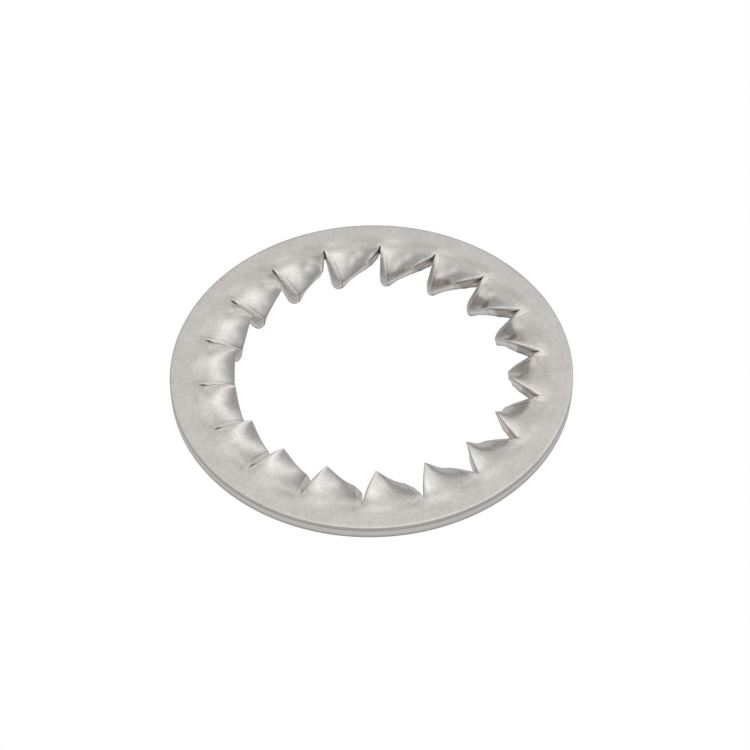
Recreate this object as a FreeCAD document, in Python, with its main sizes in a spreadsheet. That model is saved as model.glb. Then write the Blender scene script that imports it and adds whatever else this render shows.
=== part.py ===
import FreeCAD, Part
import Sketcher
import math
import os

# An internal serrated lock washer, stamped from one sheet.
# Short radial slits divide the edge of the hole into teeth, and each tooth is twisted about
# its own radial line: seen from above, its clockwise edge stands up in a dome, and its
# counter-clockwise edge is pushed down to a narrow ledge.
# Millimetres, +Z up. The axis of the washer is Z, the first tooth points along +X, and the
# lowest corners of the teeth stand on z = 0.

doc = FreeCAD.newDocument("LockWasher")


# Driving dimensions

sizes = doc.addObject("Spreadsheet::Sheet", "Dimensions")

driving_dimensions = (
    ("outer_diameter", 48.0),
    ("tip_diameter", 32.7),
    ("slit_diameter", 40.8),
    ("forming_diameter", 44.4),
    ("sheet_thickness", 1.6),
    ("tooth_count", 18),
    ("slit_width", 0.16),
    ("tip_corner_radius", 1.3),
    ("dome_height", 1.3),
    ("dome_droop", 0.35),
    ("ledge_depth", 2.45),
    ("twist_steepness", 6.0),
    ("root_wave", 0.95),
    ("root_sag", 0.45),
    ("rim_rollover", 0.3),
    ("rim_break", 0.12),
)

for row, (alias, value) in enumerate(driving_dimensions, start=1):
    sizes.set("A%d" % row, alias)
    sizes.set("B%d" % row, "%g" % value)
    sizes.setAlias("B%d" % row, alias)
doc.recompute()


def size(alias):
    return float(sizes.get(alias))


def cell(alias):
    return "Dimensions." + alias


# The formed sheet over one pitch.
# Across the pitch a place runs from -1 at the counter-clockwise border to 1 at the clockwise one.

def smooth_step(share):
    share = min(1.0, max(0.0, share))
    return share * share * (3 - 2 * share)


def twisted_profile(across):
    """Rise of a tooth's top face at its tip: a low ledge, a steep slope and a rounded dome."""
    slope_centre = -0.08
    slope = 1 / (1 + math.exp(-size("twist_steepness") * (across - slope_centre)))
    droop = size("dome_droop") * smooth_step(across)
    return (size("dome_height") + size("ledge_depth")) * slope - size("ledge_depth") - droop


def root_profile(across):
    """Rise of the top face where the slits end: a wave that runs on into the next tooth."""
    return size("root_wave") * math.sin(math.pi * across) - size("root_sag")


margin = 1.0
inner = size("tip_diameter") / 2 - margin
slit_end = size("slit_diameter") / 2
forming_end = size("forming_diameter") / 2
tooth_spans = 8
shoulder_spans = 3
tooth_span = (slit_end - inner) / tooth_spans
shoulder_span = (forming_end - slit_end) / shoulder_spans


def formed_rise(radius, across):
    """Rise of the formed top face above the flat one."""
    if radius > slit_end:
        shoulder = forming_end - shoulder_span / 3 - slit_end
        return (1 - smooth_step((radius - slit_end) / shoulder)) * root_profile(across)
    full_twist = 0.8 * (slit_end - size("tip_diameter") / 2)
    twist = smooth_step((slit_end - tooth_span / 3 - radius) / full_twist)
    return (1 - twist) * root_profile(across) + twist * twisted_profile(across)


def pole_places(knots):
    """Where the poles of a cubic spline lie along its knots, each given with its multiplicity."""
    run = [knot for knot, multiplicity in knots for copy in range(multiplicity)]
    return [sum(run[k + 1:k + 4]) / 3 for k in range(len(run) - 4)]


def even_knots(stations, joints):
    """Knots at equal spans between the stations, with the joints' multiplicity at each station."""
    knots = []
    for (first, last, spans), joint in zip(stations, joints):
        knots.append((first, joint))
        knots.extend((first + (last - first) * k / spans, 1) for k in range(1, spans))
    knots.append((stations[-1][1], 4))
    return knots


def formed_sheet():
    """The sheet over one pitch, as thick in the vertical as the flat one."""
    along = even_knots(
        ((inner, slit_end, tooth_spans), (slit_end, forming_end, shoulder_spans),
         (forming_end, forming_end + margin, 1)),
        (4, 2, 2))
    across = even_knots(((-1.0, 1.0, 11),), (4,))
    half_pitch = math.pi / size("tooth_count")
    poles = []
    for radius in pole_places(along):
        line = []
        for place in pole_places(across):
            turn = -place * half_pitch
            height = size("sheet_thickness") + formed_rise(radius, place)
            line.append(FreeCAD.Vector(radius * math.cos(turn), radius * math.sin(turn), height))
        poles.append(line)
    top = Part.BSplineSurface()
    top.buildFromPolesMultsKnots(
        poles,
        [multiplicity for knot, multiplicity in along],
        [multiplicity for knot, multiplicity in across],
        [knot for knot, multiplicity in along],
        [knot for knot, multiplicity in across],
        False, False, 3, 3)
    return top.toShape().extrude(FreeCAD.Vector(0, 0, -size("sheet_thickness")))


sheet = doc.addObject("Part::Feature", "FormedSheet")
sheet.Shape = formed_sheet()


# The outline of one pitch in plan, as a tall block: forming circle, slits and rounded tip

reach = "2 * (%s + %s)" % (cell("ledge_depth"), cell("sheet_thickness"))
half_angle = "180 / " + cell("tooth_count")

pitch = doc.addObject("Part::Cylinder", "PitchSector")
pitch.setExpression("Radius", cell("forming_diameter") + " / 2")
pitch.setExpression("Angle", "4 * " + half_angle)
pitch.setExpression("Height", "2 * " + reach)
pitch.setExpression("Placement.Base.z", "-" + reach)
pitch.setExpression("Placement.Rotation.Angle", "-2 * " + half_angle)

bore = doc.addObject("Part::Cylinder", "TipBore")
bore.setExpression("Radius", cell("tip_diameter") + " / 2")
bore.setExpression("Height", "2 * " + reach)
bore.setExpression("Placement.Base.z", "-" + reach)


def slit(name, side):
    """One of the two slits that part a tooth from its neighbours, on the border at that side."""
    past_tip = 2
    box = doc.addObject("Part::Box", name)
    start = "(%s / 2 - %g)" % (cell("tip_diameter"), past_tip)
    half_width = "(%s / 2)" % cell("slit_width")
    turn = "(%g * %s)" % (side, half_angle)
    box.setExpression("Length", "%s / 2 - %s" % (cell("slit_diameter"), start))
    box.setExpression("Width", cell("slit_width"))
    box.setExpression("Height", "2 * " + reach)
    box.setExpression("Placement.Base.x", "%s * cos(%s) + %s * sin(%s)" % (start, turn, half_width, turn))
    box.setExpression("Placement.Base.y", "%s * sin(%s) - %s * cos(%s)" % (start, turn, half_width, turn))
    box.setExpression("Placement.Base.z", "-" + reach)
    box.setExpression("Placement.Rotation.Angle", turn)
    return box


cutters = doc.addObject("Part::MultiFuse", "SlitsAndBore")
cutters.Shapes = [bore, slit("SlitClockwise", -1), slit("SlitCounterClockwise", 1)]

sharp = doc.addObject("Part::Cut", "SharpTooth")
sharp.Base = pitch
sharp.Tool = cutters
doc.recompute()


def tip_corners(shape):
    """The two upright edges where the slits meet the tip circle."""
    found = []
    for number, edge in enumerate(shape.Edges, start=1):
        ends = [vertex.Point for vertex in edge.Vertexes]
        upright = len(ends) == 2 and (ends[1] - ends[0]).cross(FreeCAD.Vector(0, 0, 1)).Length < 1e-6
        at_tip = math.hypot(ends[0].x, ends[0].y) < size("tip_diameter") / 2 + size("slit_width")
        within = abs(math.atan2(ends[0].y, ends[0].x)) < math.pi / size("tooth_count")
        if upright and at_tip and within:
            found.append(number)
    return found


outline = doc.addObject("Part::Fillet", "ToothOutline")
outline.Base = sharp
radius = size("tip_corner_radius")
outline.Edges = [(number, radius, radius) for number in tip_corners(sharp.Shape)]

tooth = doc.addObject("Part::MultiCommon", "Tooth")
tooth.Shapes = [sheet, outline]
doc.recompute()


# The ring of teeth: one tooth turned round the axis

teeth = doc.addObject("PartDesign::Body", "ToothRing")
teeth.BaseFeature = tooth
doc.recompute()
pattern = teeth.newObject("PartDesign::PolarPattern", "ToothPattern")
pattern.TransformMode = "Whole shape"
axis = [feature for feature in teeth.Origin.OriginFeatures if feature.Role == "Z_Axis"][0]
pattern.Axis = (axis, [""])
pattern.Angle = 360
pattern.setExpression("Occurrences", cell("tooth_count"))
pattern.Refine = False
teeth.Tip = pattern
doc.recompute()


# The flat ring outside the teeth, with the rounded upper edge that punching leaves

rim = doc.addObject("PartDesign::Body", "Rim")
section = rim.newObject("Sketcher::SketchObject", "RimSection")
planes = {feature.Role: feature for feature in rim.Origin.OriginFeatures}
section.AttachmentSupport = [(planes["XZ_Plane"], "")]
section.MapMode = "FlatFace"
left, right = size("forming_diameter") / 2, size("outer_diameter") / 2
top = size("sheet_thickness")
corners = [FreeCAD.Vector(x, y, 0) for x, y in ((left, 0), (right, 0), (right, top), (left, top))]
for start, end in zip(corners, corners[1:] + corners[:1]):
    section.addGeometry(Part.LineSegment(start, end), False)
for line in range(4):
    section.addConstraint(Sketcher.Constraint("Coincident", line, 2, (line + 1) % 4, 1))
for line, direction in enumerate(("Horizontal", "Vertical", "Horizontal", "Vertical")):
    section.addConstraint(Sketcher.Constraint(direction, line))
section.addConstraint(Sketcher.Constraint("PointOnObject", 0, 1, -1))
section_sizes = (
    ("forming_radius", "DistanceX", (-1, 1, 0, 1, left), cell("forming_diameter") + " / 2"),
    ("outer_radius", "DistanceX", (-1, 1, 0, 2, right), cell("outer_diameter") + " / 2"),
    ("thickness", "DistanceY", (1, 1, 1, 2, top), cell("sheet_thickness")),
)
for name, kind, place, expression in section_sizes:
    section.renameConstraint(section.addConstraint(Sketcher.Constraint(kind, *place)), name)
    section.setExpression("Constraints." + name, expression)
revolution = rim.newObject("PartDesign::Revolution", "RimRevolution")
revolution.Profile = section
revolution.ReferenceAxis = (section, ["V_Axis"])
revolution.Angle = 360
doc.recompute()


def outer_edge(shape, height):
    """The name of the outer circle of the rim at that height."""
    for number, edge in enumerate(shape.Edges, start=1):
        box = edge.BoundBox
        flat = abs(box.ZMin - height) < 1e-6 and abs(box.ZMax - height) < 1e-6
        if flat and abs(box.XMax - size("outer_diameter") / 2) < 1e-6:
            return "Edge%d" % number
    raise RuntimeError("no outer edge at %g" % height)


rollover = rim.newObject("PartDesign::Fillet", "RimRollover")
rollover.Base = (revolution, [outer_edge(revolution.Shape, size("sheet_thickness"))])
rollover.setExpression("Radius", cell("rim_rollover"))
doc.recompute()
lower_break = rim.newObject("PartDesign::Chamfer", "RimBreak")
lower_break.Base = (rollover, [outer_edge(rollover.Shape, 0)])
lower_break.setExpression("Size", cell("rim_break"))
doc.recompute()


# The washer, stood on the lowest corners of its teeth

washer = doc.addObject("Part::Fuse", "Washer")
washer.Base = rim
washer.Tool = teeth
washer.Refine = True
washer.Label = "lock_washer"
doc.recompute()
washer.Placement.Base.z = -washer.Shape.optimalBoundingBox(False).ZMin
doc.recompute()


# Checks, then the file

for part in doc.Objects:
    if "Invalid" in part.State or "Error" in part.State:
        raise RuntimeError("%s failed" % part.Label)
    shape = getattr(part, "Shape", None)
    if shape is not None and not part.isDerivedFrom("Sketcher::SketchObject"):
        if part.isDerivedFrom("PartDesign::Body") or part.isDerivedFrom("Part::Feature"):
            if shape.isNull() or not shape.isValid():
                raise RuntimeError("%s has no valid shape" % part.Label)

os.makedirs("parts", exist_ok=True)
washer.Shape.exportStep("parts/%s.step" % washer.Label)
box = washer.Shape.optimalBoundingBox(False)
print("%s: %d solid, volume %.1f mm3" % (washer.Label, len(washer.Shape.Solids), washer.Shape.Volume))
print("box %.3f %.3f %.3f to %.3f %.3f %.3f" % (box.XMin, box.YMin, box.ZMin, box.XMax, box.YMax, box.ZMax))
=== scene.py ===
import math

import bmesh
import bpy
from mathutils import Matrix, Vector


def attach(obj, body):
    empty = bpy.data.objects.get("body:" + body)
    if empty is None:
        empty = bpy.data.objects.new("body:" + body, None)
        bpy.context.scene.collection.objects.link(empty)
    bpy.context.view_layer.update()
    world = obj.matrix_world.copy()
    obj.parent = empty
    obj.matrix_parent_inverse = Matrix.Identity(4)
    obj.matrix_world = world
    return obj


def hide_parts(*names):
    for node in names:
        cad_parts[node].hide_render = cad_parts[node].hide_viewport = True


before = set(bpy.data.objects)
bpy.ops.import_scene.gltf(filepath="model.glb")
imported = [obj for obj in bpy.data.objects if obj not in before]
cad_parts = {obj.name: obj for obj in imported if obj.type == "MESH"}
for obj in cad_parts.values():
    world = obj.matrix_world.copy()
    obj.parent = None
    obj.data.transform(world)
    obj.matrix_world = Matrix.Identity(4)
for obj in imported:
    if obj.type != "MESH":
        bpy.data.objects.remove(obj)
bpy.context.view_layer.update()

# Lengths are in millimetres where no comment says metres, and MM turns them into metres.
MM = 0.001

# The washer's sizes
OUTER_RADIUS = 24.0
FORMING_RADIUS = 22.04
SLIT_END_RADIUS = 20.4
TIP_RADIUS = 16.35
THICKNESS = 1.6
TEETH = 18
HALF_PITCH = math.pi / TEETH
SLIT_HALF_WIDTH = 0.08
SLIT_END_TAPER = 0.3
TIP_CORNER_RADIUS = 1.2
UNDERSIDE = 2.4
BODY = "root"
NODE = "lock_washer"


def smooth_step(share):
    share = min(1.0, max(0.0, share))
    return share * share * (3 - 2 * share)


def blend(low, high, share):
    return low + (high - low) * share


# The form of a tooth
# A place across the pitch runs from -1 at the lowered border to 1 at the raised one.
# Each profile is the control polygon of a quadratic spline. A point has a place and a rise at the
# slit's end, an extra rise halfway along the tooth, and a place and a rise at the tip.

CREASE = (-0.825, -0.107, 0.036, -0.609, -1.888)
LEDGE = (
    (-1, 0.029, 0, -1, -2.213),
    (-0.953, 0.006, 0.018, -0.874, -2.399),
    CREASE,
)
SLOPE_AND_DOME = (
    CREASE,
    (-0.466, -0.156, -0.021, -0.23, -1.283),
    (0.226, 0.117, -0.042, 0.374, 0.662),
    (0.633, 0.174, 0.051, 0.55, 1.116),
    (0.793, 0.128, 0.098, 0.7, 1.078),
    (0.85, 0.107, 0.166, 0.86, 0.929),
    (1, 0.029, 0.015, 1, 0.5),
)
TWIST_START = 1.0
HALVINGS = 24


def twist_share(radius):
    """0 at the slit's end and 1 at the tip, with a soft start."""
    inward = SLIT_END_RADIUS - radius
    if inward <= 0:
        return 0.0
    whole = SLIT_END_RADIUS - TIP_RADIUS - TWIST_START / 2
    if inward < TWIST_START:
        return inward ** 2 / (2 * TWIST_START) / whole
    return (inward - TWIST_START / 2) / whole


def bulge_share(radius):
    """1 halfway along the tooth, and softly down to 0 at both its ends."""
    inward = (SLIT_END_RADIUS - radius) / (SLIT_END_RADIUS - TIP_RADIUS)
    return math.sin(math.pi * min(1.0, max(0.0, inward))) ** 2


def shoulder_share(radius):
    """1 up to the slit's end and 0 at the forming circle, by two equal bends."""
    outward = (radius - SLIT_END_RADIUS) / (FORMING_RADIUS - SLIT_END_RADIUS)
    outward = min(1.0, max(0.0, outward))
    return 1 - 2 * outward ** 2 if outward < 0.5 else 2 * (1 - outward) ** 2


def blend_points(one, other, share):
    return tuple(blend(a, b, share) for a, b in zip(one, other))


def spline_point(polygon, share):
    """The point at a share from 0 to 1 along a clamped, even quadratic spline."""
    spans = len(polygon) - 2
    span = min(spans - 1, int(share * spans))
    along = share * spans - span
    first, middle, last = polygon[span:span + 3]
    start = first if span == 0 else blend_points(first, middle, 0.5)
    end = last if span == spans - 1 else blend_points(middle, last, 0.5)
    return blend_points(
        blend_points(start, middle, along), blend_points(middle, end, along), along)


def profile_at(profile, radius):
    """A profile's control polygon at that radius."""
    twist = twist_share(radius)
    raised = shoulder_share(radius)
    halfway = bulge_share(radius)
    return [
        (
            blend(root_place, tip_place, twist),
            blend(root_rise, tip_rise, twist) * raised + extra_rise * halfway)
        for root_place, root_rise, extra_rise, tip_place, tip_rise in profile]


def crease_place(radius):
    return profile_at((CREASE,), radius)[0][0]


def formed_rise(radius, place):
    """How far the formed sheet lies above the flat one, found by halving along the profile."""
    if radius >= FORMING_RADIUS:
        return 0.0
    profile = LEDGE if place < crease_place(radius) else SLOPE_AND_DOME
    polygon = profile_at(profile, radius)
    low, high = 0.0, 1.0
    for halving in range(HALVINGS):
        middle = (low + high) / 2
        if spline_point(polygon, middle)[0] < place:
            low = middle
        else:
            high = middle
    return spline_point(polygon, low)[1]


# The outline of a tooth in plan
# Its counter-clockwise flank runs along the slit, and its clockwise flank is cut back to the tip.

FLANK_CUT = 0.481
FLANK_CURVE = 1.55


def corner_inset(radius):
    """How far the rounded corner at the tip pulls the flank in at that radius."""
    rise = TIP_RADIUS + TIP_CORNER_RADIUS - radius
    if rise <= 0:
        return 0.0
    return TIP_CORNER_RADIUS - math.sqrt(max(0.0, TIP_CORNER_RADIUS ** 2 - rise ** 2))


def slit_gap(radius):
    return SLIT_HALF_WIDTH * min(1.0, max(0.0, SLIT_END_RADIUS - radius) / SLIT_END_TAPER)


def lowered_border(radius):
    """The place of the counter-clockwise flank."""
    half_width = radius * math.sin(HALF_PITCH) - slit_gap(radius)
    if radius < SLIT_END_RADIUS:
        half_width -= corner_inset(radius)
    return -math.asin(half_width / radius) / HALF_PITCH


def raised_border(radius):
    """The place of the clockwise flank."""
    depth = max(0.0, SLIT_END_RADIUS - radius) / (SLIT_END_RADIUS - TIP_RADIUS)
    return 1 - FLANK_CUT * depth ** FLANK_CURVE - slit_gap(radius) / (radius * HALF_PITCH)


# The edges, which punching has rolled over

EDGE_ROLL_WIDTH = 0.3
EDGE_ROLL_DEPTH = 0.14
LEDGE_ROLL_WIDTH = 0.75
LEDGE_ROLL_DEPTH = 0.75
LEDGE_ROLL_BLEND = 0.2
RIM_ROLL_WIDTH = 0.35
RIM_ROLL_DEPTH = 0.2
FLANK_SLANT = 0.85


def edge_distance(radius, place):
    """How far a place in plan is from the nearest cut edge of the hole."""
    to_lowered = (place - lowered_border(radius)) * HALF_PITCH * radius
    to_raised = (raised_border(radius) - place) * HALF_PITCH * radius * FLANK_SLANT
    if radius >= SLIT_END_RADIUS:
        return math.hypot(min(to_lowered, to_raised), radius - SLIT_END_RADIUS)
    return max(0.0, min(to_lowered, to_raised, radius - TIP_RADIUS))


def rolled(distance, width, depth):
    """How far a punched edge has rolled down at that distance from it."""
    if distance >= width:
        return 0.0
    share = 1 - distance / width
    return depth * (1 - math.sqrt(max(0.0, 1 - share * share)))


def edge_roll(radius, place):
    """The drop beside a tooth's edges: slight on the dome, deep on the ledge."""
    on_ledge = smooth_step((crease_place(radius) - place) / LEDGE_ROLL_BLEND)
    depth = blend(EDGE_ROLL_DEPTH, LEDGE_ROLL_DEPTH * twist_share(radius), on_ledge)
    width = blend(EDGE_ROLL_WIDTH, LEDGE_ROLL_WIDTH, on_ledge)
    return rolled(edge_distance(radius, place), width, depth)


# One pitch as a grid of rows from the tip to the rim and columns from border to border

TOOTH_ROWS = 34
SHOULDER_ROWS = 12
RING_ROWS = 9
LEDGE_COLUMNS = 10
COLUMNS = 36
TIP_CROWDING = 0.35
RIM_CROWDING = 1.8
BORDER_CROWDING = 0.6


def row_radius(row):
    """Rows lie closer together at the tip and at the rim."""
    if row <= TOOTH_ROWS:
        share = row / TOOTH_ROWS
        return blend(TIP_RADIUS, SLIT_END_RADIUS, blend(share, share ** 2, TIP_CROWDING))
    row -= TOOTH_ROWS
    if row <= SHOULDER_ROWS:
        return blend(SLIT_END_RADIUS, FORMING_RADIUS, row / SHOULDER_ROWS)
    share = (row - SHOULDER_ROWS) / RING_ROWS
    return blend(FORMING_RADIUS, OUTER_RADIUS, 1 - (1 - share) ** RIM_CROWDING)


def closer_at_ends(share):
    return blend(share, smooth_step(share), BORDER_CROWDING)


def column_place(column, radius):
    """One column always lies on the crease."""
    crease = crease_place(radius)
    if column <= LEDGE_COLUMNS:
        return blend(lowered_border(radius), crease, closer_at_ends(column / LEDGE_COLUMNS))
    share = (column - LEDGE_COLUMNS) / (COLUMNS - LEDGE_COLUMNS)
    return blend(crease, raised_border(radius), closer_at_ends(share))


def on_washer(radius, place, height):
    turn = -place * HALF_PITCH
    return Vector((radius * math.cos(turn), radius * math.sin(turn), height)) * MM


# Marks that the finish reads from the upper face, among them painted shade and a painted highlight
# beside the crease and painted shade at each tip's raised corner
# The first four start at a circle and fade in inward from it.

FINISH_MARKS = ("worked", "ledge", "crease", "burnish", "seam", "depth")
WORKED_START, WORKED_FADE = FORMING_RADIUS + 0.6, 2.4
LEDGE_START, LEDGE_FADE = SLIT_END_RADIUS + 0.7, 0.9
PAINTED_LINES_START, PAINTED_LINES_FADE = SLIT_END_RADIUS - 0.7, 1.4
LEDGE_EDGE = 0.15
# A painted shade line just on the slope's side of the crease, as a place and a width.
CREASE_SHADE_LINE, CREASE_SHADE_WIDTH = 0.05, 0.09
# A painted highlight line just on the ledge's side of the crease, as a place and a width.
RIDGE_HIGHLIGHT_LINE, RIDGE_HIGHLIGHT_WIDTH = -0.14, 0.08


def line_mark(distance, middle, width):
    return math.exp(-((distance - middle) / width) ** 2)


def mark_finish(vert, layers, radius, place):
    """Where the steel is worked smooth, rough on the ledge, and painted with a dark shade line and a
    bright highlight line beside the crease.
    """
    from_crease = (place - crease_place(radius)) * HALF_PITCH * radius
    painted_lines = smooth_step((PAINTED_LINES_START - radius) / PAINTED_LINES_FADE)
    ledge = smooth_step((LEDGE_START - radius) / LEDGE_FADE)
    vert[layers["worked"]] = smooth_step((WORKED_START - radius) / WORKED_FADE)
    vert[layers["ledge"]] = smooth_step(-from_crease / LEDGE_EDGE) * ledge
    vert[layers["crease"]] = line_mark(from_crease, CREASE_SHADE_LINE, CREASE_SHADE_WIDTH) * painted_lines
    vert[layers["burnish"]] = line_mark(from_crease, RIDGE_HIGHLIGHT_LINE, RIDGE_HIGHLIGHT_WIDTH) * painted_lines


def sheet_over_one_pitch(mesh):
    rows = TOOTH_ROWS + SHOULDER_ROWS + RING_ROWS
    bmesh.ops.create_grid(mesh, x_segments=COLUMNS, y_segments=rows, size=1.0)
    layers = {name: mesh.verts.layers.float.new(name) for name in FINISH_MARKS}
    for vert in mesh.verts:
        row = round((vert.co.y + 1) / 2 * rows)
        column = round((vert.co.x + 1) / 2 * COLUMNS)
        radius = row_radius(row)
        place = column_place(column, radius)
        height = UNDERSIDE + THICKNESS + formed_rise(radius, place)
        height -= edge_roll(radius, place)
        height -= rolled(OUTER_RADIUS - radius, RIM_ROLL_WIDTH, RIM_ROLL_DEPTH)
        mark_finish(vert, layers, radius, place)
        # Painted shade: marks the tip's raised corner, from which the finish draws a dark line down the
        # cut wall.
        vert[layers["seam"]] = float(row == 0 and column == COLUMNS)
        vert.co = on_washer(radius, place, height)


# The whole washer, with its underside and cut walls
# The lower edge of the tip lies outside the upper one by a recess that ends further out.

TIP_RECESS = 0.6
LEDGE_RECESS = 0.2
RECESS_BLEND = 0.5
RECESS_REACH = 1.4
WALL_CUTS = 5
WELD_DISTANCE = 0.002


def underside_below(point):
    """The place of the underside below a point of the upper face."""
    radius = math.hypot(point.x, point.y) / MM
    turn = math.atan2(point.y, point.x)
    sector = round(turn / (2 * HALF_PITCH))
    place = 2 * sector - turn / HALF_PITCH
    on_slope = smooth_step((place - crease_place(radius)) / RECESS_BLEND)
    near_tip = max(0.0, 1 - (radius - TIP_RADIUS) / RECESS_REACH)
    lower_radius = radius + blend(LEDGE_RECESS, TIP_RECESS, on_slope) * near_tip
    outward = lower_radius / radius
    height = UNDERSIDE + formed_rise(lower_radius, place)
    return Vector((point.x * outward, point.y * outward, height * MM))


def washer_mesh():
    mesh = bmesh.new()
    sheet_over_one_pitch(mesh)
    bmesh.ops.spin(
        mesh, geom=mesh.faces[:] + mesh.edges[:] + mesh.verts[:], cent=(0, 0, 0), axis=(0, 0, 1),
        angle=2 * math.pi * (TEETH - 1) / TEETH, steps=TEETH - 1, use_duplicate=True)
    bmesh.ops.remove_doubles(mesh, verts=mesh.verts, dist=WELD_DISTANCE * MM)
    depth = mesh.verts.layers.float["depth"]
    lowered = bmesh.ops.extrude_face_region(mesh, geom=mesh.faces[:], use_keep_orig=True)
    under = {item for item in lowered["geom"] if isinstance(item, bmesh.types.BMVert)}
    for vert in under:
        vert[depth] = 1.0
        vert.co = underside_below(vert.co)
    upright = [edge for edge in mesh.edges if (edge.verts[0] in under) != (edge.verts[1] in under)]
    bmesh.ops.subdivide_edges(mesh, edges=upright, cuts=WALL_CUTS, use_grid_fill=True)
    bmesh.ops.recalc_face_normals(mesh, faces=mesh.faces)
    return mesh


# Shader helper

class Value:
    """A node socket that can be added, subtracted and multiplied."""

    def __init__(self, shading, socket):
        self.shading = shading
        self.socket = socket

    def calculate(self, operation, *others):
        return self.shading.node("ShaderNodeMath", {"operation": operation}, [self, *others])

    def __add__(self, other):
        return self.calculate("ADD", other)

    __radd__ = __add__

    def __mul__(self, other):
        return self.calculate("MULTIPLY", other)

    __rmul__ = __mul__

    def __sub__(self, other):
        return self.calculate("SUBTRACT", other)

    def __rsub__(self, other):
        return self.shading.node("ShaderNodeMath", {"operation": "SUBTRACT"}, [other, self])

    def clamped(self):
        return self.shading.node("ShaderNodeClamp", {}, {"Value": self}, "Result")


class Shading:
    """The node tree of a material or of the world, under construction."""

    def __init__(self, owner):
        self.owner = owner
        owner.use_nodes = True
        self.tree = owner.node_tree
        self.tree.nodes.clear()

    def node(self, kind, settings, inputs, output=0):
        """Any node, with its settings and inputs, given back as one of its outputs."""
        node = self.tree.nodes.new(kind)
        for name, value in settings.items():
            if name == "stops":
                self.set_stops(node.color_ramp, value)
            else:
                setattr(node, name, value)
        items = inputs.items() if isinstance(inputs, dict) else enumerate(inputs)
        for key, value in items:
            if isinstance(value, Value):
                self.tree.links.new(value.socket, node.inputs[key])
            else:
                node.inputs[key].default_value = value
        return Value(self, node.outputs[output]) if len(node.outputs) else None

    def set_stops(self, ramp, stops):
        while len(ramp.elements) < len(stops):
            ramp.elements.new(0.5)
        for element, (position, level) in zip(ramp.elements, stops):
            element.position = position
            element.color = grey(level)

    def attribute(self, name):
        return self.node("ShaderNodeAttribute", {"attribute_name": name}, {}, "Fac")

    def noise(self, scale, detail, roughness):
        place = self.node("ShaderNodeTexCoord", {}, {}, "Object")
        return self.node(
            "ShaderNodeTexNoise", {},
            {"Vector": place, "Scale": scale, "Detail": detail, "Roughness": roughness}, "Fac")

    def ramp(self, value, stops):
        return self.node("ShaderNodeValToRGB", {"stops": stops}, {"Fac": value}, "Color")

    def mix(self, share, first, second, how="MIX"):
        settings = {"data_type": "RGBA", "blend_type": how}
        return self.node("ShaderNodeMix", settings, {0: share, 6: first, 7: second}, 2)

    def light_path(self, *rays):
        """1 where one of the named rays meets the surface."""
        return sum(self.node("ShaderNodeLightPath", {}, {}, ray) for ray in rays).clamped()

    def finished(self, shader, output="ShaderNodeOutputMaterial"):
        self.node(output, {}, {"Surface": shader})
        return self.owner


def grey(level, warmth=0.0):
    return (level * (1 + warmth), level, level * (1 - warmth), 1.0)


def material(name):
    return Shading(bpy.data.materials.new(name))


# The steel
# Levels are reflectance. A noise is given by its scale per metre, detail and roughness. The bands
# run down a cut wall from its upper edge to its lower one.

WARMTH = 0.05
STEEL_LEVEL = 0.64
MOTTLING = 0.24
# The bright level serves the ledge's speckle and a painted highlight line; the dark level is painted
# shade.
SPECKLE_AND_HIGHLIGHT_LEVEL = 0.9
PAINTED_SHADE_LEVEL = 0.12
GRAIN = (2600.0, 2.0, 0.6)
CLOUD = (420.0, 3.0, 0.55)
SPECKLE = (4200.0, 1.0, 0.5)
CLOUD_STOPS = ((0.3, 0.5), (0.7, 0.78))
CLOUD_SHARE = 0.2
SPECKLE_SHARE = 0.5
PAINTED_LINE_SHARE = 0.4
CORNER_SHADE_SHARE = 0.8
WALL_LEVEL = 0.92
WALL_BANDS = (
    (0.0, 1.0), (0.06, 0.8), (0.14, 0.6), (0.22, 0.92), (0.72, 0.86), (0.88, 0.62), (1.0, 1.0))
RING_ROUGHNESS = 0.4
DOME_ROUGHNESS = 0.2
GRAIN_ROUGHNESS = 0.1
CLOUD_ROUGHNESS = 0.08
LEDGE_RELIEF = 2.5
BUMP_STRENGTH = 0.3
BUMP_HEIGHT = 0.03


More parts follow.
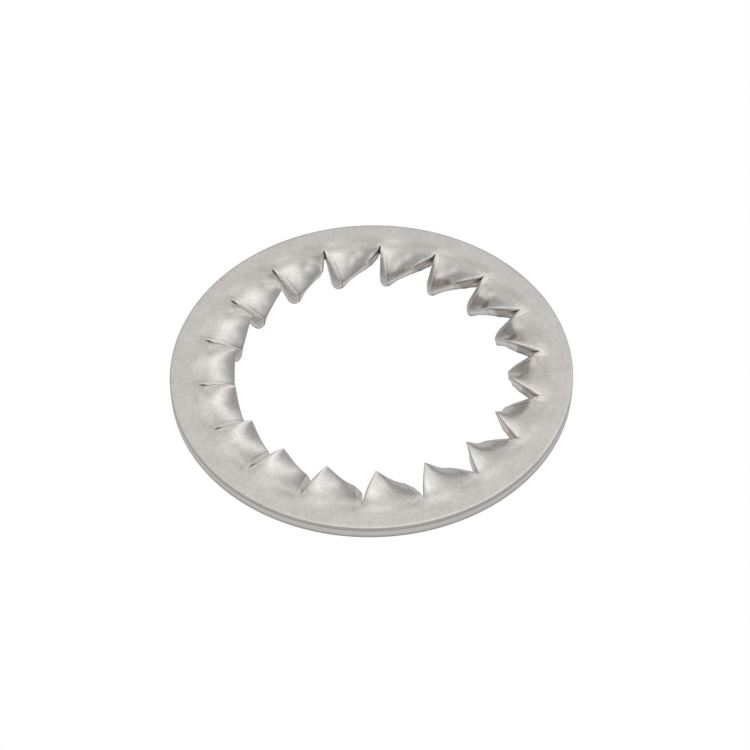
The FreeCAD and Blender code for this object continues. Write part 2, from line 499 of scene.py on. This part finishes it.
def tumbled_steel():
    """Matt tumbled stainless steel that forming has smoothed on the domes."""
    steel = material("tumbled_steel")
    worked = steel.attribute("worked")
    ledge = steel.attribute("ledge")
    depth = steel.attribute("depth")
    wall = (4 * (depth - depth * depth)).clamped()
    grain = steel.noise(*GRAIN)
    cloud = steel.noise(*CLOUD)
    speckle = steel.noise(*SPECKLE)
    duller = grey(STEEL_LEVEL * (1 - MOTTLING), WARMTH)
    brighter = grey(STEEL_LEVEL * (1 + MOTTLING), WARMTH)
    colour = steel.mix(grain, duller, brighter)
    colour = steel.mix(CLOUD_SHARE, colour, steel.ramp(cloud, CLOUD_STOPS))
    colour = steel.mix(SPECKLE_SHARE * ledge * speckle, colour, grey(SPECKLE_AND_HIGHLIGHT_LEVEL, WARMTH))
    colour = steel.mix(wall, colour, grey(WALL_LEVEL, WARMTH))
    colour = steel.mix(1.0, colour, steel.ramp(depth, WALL_BANDS), "MULTIPLY")
    # Painted shade: a dark line on the slope's side of the crease, where the valley lies in shadow.
    colour = steel.mix(PAINTED_LINE_SHARE * steel.attribute("crease"), colour, grey(PAINTED_SHADE_LEVEL))
    # Painted highlight: a bright line on the ledge's side of the crease, where its ridge catches the
    # light.
    colour = steel.mix(PAINTED_LINE_SHARE * steel.attribute("burnish"), colour, grey(SPECKLE_AND_HIGHLIGHT_LEVEL, WARMTH))
    # Painted shade: a dark line down the cut wall at each tip's raised corner.
    colour = steel.mix(CORNER_SHADE_SHARE * steel.attribute("seam") * wall, colour, grey(PAINTED_SHADE_LEVEL))
    rough = RING_ROUGHNESS + GRAIN_ROUGHNESS * (grain - 0.5) + CLOUD_ROUGHNESS * (cloud - 0.5)
    rough = rough - (RING_ROUGHNESS - DOME_ROUGHNESS) * worked * (1 - ledge)
    normal = steel.node("ShaderNodeBump", {}, {
        "Strength": BUMP_STRENGTH, "Distance": BUMP_HEIGHT * MM,
        "Height": grain + LEDGE_RELIEF * ledge * speckle}, "Normal")
    shader = steel.node("ShaderNodeBsdfPrincipled", {}, {
        "Base Color": colour, "Metallic": 1.0, "Roughness": rough.clamped(), "Normal": normal}, "BSDF")
    return steel.finished(shader)


SHARP_ANGLE = math.radians(38)


def add_piece(name, mesh, finish):
    data = bpy.data.meshes.new(name)
    mesh.to_mesh(data)
    mesh.free()
    for polygon in data.polygons:
        polygon.use_smooth = True
    piece = bpy.data.objects.new(name, data)
    bpy.context.scene.collection.objects.link(piece)
    data.materials.append(finish)
    data.set_sharp_from_angle(angle=SHARP_ANGLE)
    return piece


washer = add_piece("stamped_washer", washer_mesh(), tumbled_steel())
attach(washer, BODY)
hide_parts(NODE)


# Camera, set to the photograph's view of the ring

ELEVATION = math.radians(49.0)
AZIMUTH = math.radians(3.8)
ROLL = math.radians(-0.96)
DISTANCE = 271.7
ACROSS = -0.43
UP_SHIFT = -0.19
LENS = 109.0
SENSOR_WIDTH = 36.0
# Metres
NEAREST, FARTHEST = 0.01, 50.0


def view_axes():
    turn = Matrix.Rotation(AZIMUTH, 3, "Z")
    back = turn @ Vector((0, -math.cos(ELEVATION), math.sin(ELEVATION)))
    right = turn @ Vector((1, 0, 0))
    up = turn @ Vector((0, math.sin(ELEVATION), math.cos(ELEVATION)))
    rolled_right = math.cos(ROLL) * right + math.sin(ROLL) * up
    rolled_up = math.cos(ROLL) * up - math.sin(ROLL) * right
    return rolled_right, rolled_up, back


def add_camera():
    right, up, back = view_axes()
    place = back * DISTANCE - ACROSS * right - UP_SHIFT * up + Vector((0, 0, UNDERSIDE))
    data = bpy.data.cameras.new("camera")
    data.lens = LENS
    data.sensor_width = SENSOR_WIDTH
    data.clip_start = NEAREST
    data.clip_end = FARTHEST
    camera = bpy.data.objects.new("camera", data)
    turn = Matrix((right, up, back)).transposed()
    camera.matrix_world = Matrix.Translation(place * MM) @ turn.to_4x4()
    bpy.context.scene.collection.objects.link(camera)
    bpy.context.scene.camera = camera


# Floor and light tent
# The floor is white to the camera and glows a little less in the steel. The tent has a plain level
# and soft boxes, each given by azimuth, elevation, strength and sharpness, with azimuth 0 at the
# photograph's right. The floor's reach is in metres.

FLOOR_REACH = 1.5
FLOOR_LEVEL = 0.8
FLOOR_GLOW = 0.6
TENT_LEVEL = 0.45
SOFT_BOXES = (
    (36, 82, 0.79, 14),
    (33, 42, 0.64, 14),
    (-156, 66, 0.56, 14),
    (42, 18, 0.42, 40),
    (104, 58, 0.30, 90),
    (153, 42, 0.62, 40),
    (-60, 66, 0.26, 40),
    (90, 26, 0.25, 40),
    (86, 50, 0.24, 90),
    (9, 58, 0.24, 40),
    (120, 34, 0.55, 40),
    (68, 26, 0.19, 40),
    (70, 50, 0.15, 90),
    (84, 66, 0.14, 90),
    (100, 42, 0.14, 90),
    (132, 66, 0.13, 90),
)


def pale_floor():
    floor = material("pale_floor")
    ground = floor.node("ShaderNodeBsdfDiffuse", {}, {"Color": grey(FLOOR_LEVEL)}, "BSDF")
    strength = FLOOR_GLOW + (1 - FLOOR_GLOW) * floor.light_path("Is Camera Ray")
    white = floor.node("ShaderNodeEmission", {}, {"Color": grey(1.0), "Strength": strength}, "Emission")
    seen = floor.light_path("Is Camera Ray", "Is Glossy Ray", "Is Transmission Ray")
    shader = floor.node("ShaderNodeMixShader", {}, [seen, ground, white])
    return floor.finished(shader)


def add_floor():
    mesh = bmesh.new()
    bmesh.ops.create_grid(mesh, x_segments=1, y_segments=1, size=FLOOR_REACH)
    data = bpy.data.meshes.new("floor")
    mesh.to_mesh(data)
    mesh.free()
    floor = bpy.data.objects.new("floor", data)
    data.materials.append(pale_floor())
    bpy.context.scene.collection.objects.link(floor)


def toward(azimuth, elevation):
    azimuth = math.radians(azimuth) + AZIMUTH
    elevation = math.radians(elevation)
    return Vector((
        math.cos(azimuth) * math.cos(elevation), math.sin(azimuth) * math.cos(elevation),
        math.sin(elevation)))


def background(tent, strength):
    return tent.node(
        "ShaderNodeBackground", {}, {"Color": grey(1.0), "Strength": strength}, "Background")


def add_light_tent():
    world = bpy.data.worlds.new("light_tent")
    bpy.context.scene.world = world
    tent = Shading(world)
    direction = tent.node("ShaderNodeTexCoord", {}, {}, "Generated")
    level = TENT_LEVEL
    for azimuth, elevation, strength, sharpness in SOFT_BOXES:
        nearness = tent.node(
            "ShaderNodeVectorMath", {"operation": "DOT_PRODUCT"},
            {0: direction, 1: toward(azimuth, elevation)}, "Value")
        level = strength * (sharpness * (nearness - 1)).calculate("EXPONENT") + level
    shader = tent.node("ShaderNodeMixShader", {}, [
        tent.light_path("Is Camera Ray"), background(tent, level), background(tent, 1.0)])
    tent.finished(shader, "ShaderNodeOutputWorld")


add_camera()
add_floor()
add_light_tent()
bpy.context.scene.view_settings.view_transform = "Standard"
